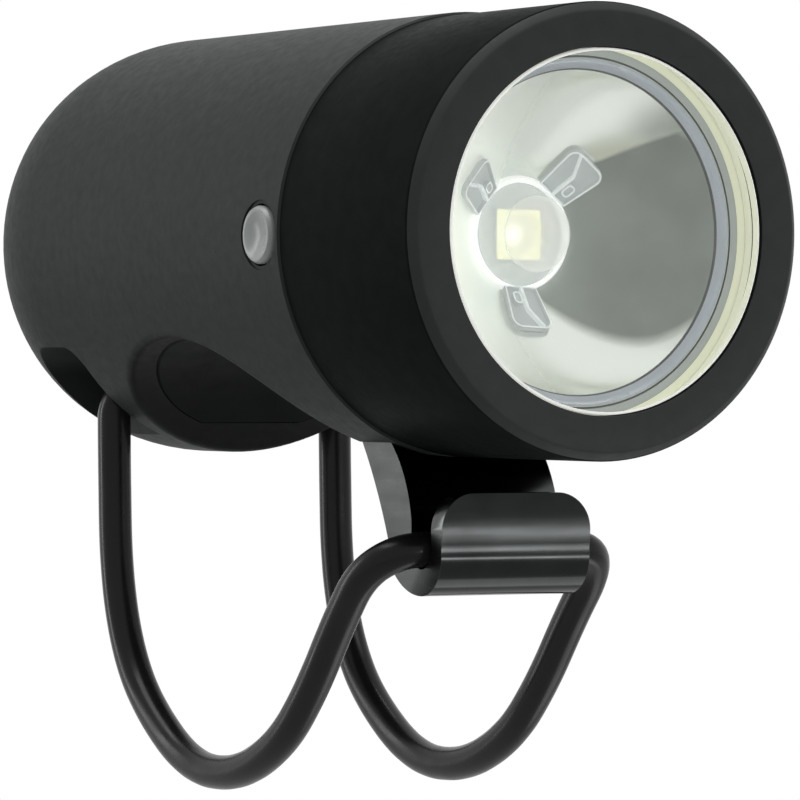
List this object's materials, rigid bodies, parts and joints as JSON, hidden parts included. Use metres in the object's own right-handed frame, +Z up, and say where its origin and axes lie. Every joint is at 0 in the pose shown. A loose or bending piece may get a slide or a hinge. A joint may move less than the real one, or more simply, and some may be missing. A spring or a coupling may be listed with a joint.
{
  "type": "bicycle headlight",
  "caption": "Short round handlebar headlight with a clear front window, side button, metal hook and a round silicone strap that goes under the bar.",
  "frame": {"origin": "axis of the handlebar that the saddle sits on, in the middle of the lamp's width", "axes": "+Z up, -Y towards the beam, +X to the rider's right, along the handlebar"},
  "size_m": [0.0304, 0.0631, 0.0538],
  "materials": {
    "housing_plastic": "fine matt texture, dark grey",
    "black_anodised": "black anodised, satin",
    "clear_window": "clear, polished",
    "clear_optic": "clear, polished",
    "pale_plastic": "satin, pale grey",
    "phosphor": "matt yellow square on a white package",
    "clear_silicone": "clear, soft gloss",
    "board_white": "white solder mask on a metal core",
    "board_green": "green solder mask",
    "steel_hook": "satin gunmetal",
    "screw_steel": "plain",
    "bare_aluminium": "machined",
    "thermal_grey": "matt, soft",
    "cell_wrap": "blue plastic sleeve over a metal can",
    "nickel_strip": "bright strip",
    "black_plastic": "matt",
    "foam_black": "open foam",
    "chip_black": "moulded",
    "ferrite": "matt",
    "capacitor_tan": "satin",
    "led_lens": "milky",
    "button_silicone": "silver grey, slightly see-through",
    "seal_rubber": "matt",
    "socket_metal": "drawn shell",
    "black_silicone": "soft gloss",
    "lead_sleeve": "soft sleeve",
    "flex_amber": "thin film"
  },
  "bodies": {
    "lamp": {"rear_housing": "housing_plastic", "front_bezel": "black_anodised", "bezel_seal": "seal_rubber", "window_gasket": "seal_rubber", "front_window": "clear_window", "collimator": "clear_optic", "optic_holder": "pale_plastic", "led_emitter": "phosphor", "led_dome": "clear_silicone", "led_board_screws": "screw_steel", "led_board": "board_white", "thermal_pad": "thermal_grey", "heat_sink": "bare_aluminium", "battery_cell": "cell_wrap", "battery_tabs": "nickel_strip", "battery_cradle": "black_plastic", "cell_foam": "foam_black", "driver_board": "board_green", "inductor": "ferrite", "controller_chip": "chip_black", "capacitors": "capacitor_tan", "status_led": "led_lens", "tact_switch": "socket_metal", "button_seal": "seal_rubber", "charge_board": "board_green", "charge_board_screws": "screw_steel", "charge_port": "socket_metal", "port_tongue": "black_plastic", "led_leads": "lead_sleeve", "charge_flex": "flex_amber", "cover_tether": "black_silicone", "bar_pad": "black_silicone", "strap_hook": "steel_hook", "hook_screws": "screw_steel"},
    "button": {"mode_button": "button_silicone", "switch_plunger": "black_plastic"},
    "flap": {"port_cover": "black_silicone"},
    "strap_loop": {"strap": "black_silicone"}
  },
  "joints": [
    {"name": "button_press", "type": "slide", "parent": "lamp", "child": "button", "axis": [1, 0, 0], "range_m": [0, 0.0004], "stiffness_N_per_m": 3500},
    {"name": "flap_swing", "type": "hinge", "parent": "lamp", "child": "flap", "pos_m": [0, 0.02717, 0.02853], "axis": [1, 0, 0], "range_deg": [0, 100]},
    {"name": "strap_swing", "type": "hinge", "parent": "lamp", "child": "strap_loop", "pos_m": [0, 0.01657, 0.01408], "axis": [1, 0, 0], "range_deg": [0, 50], "deforming": ["strap"]}
  ]
}
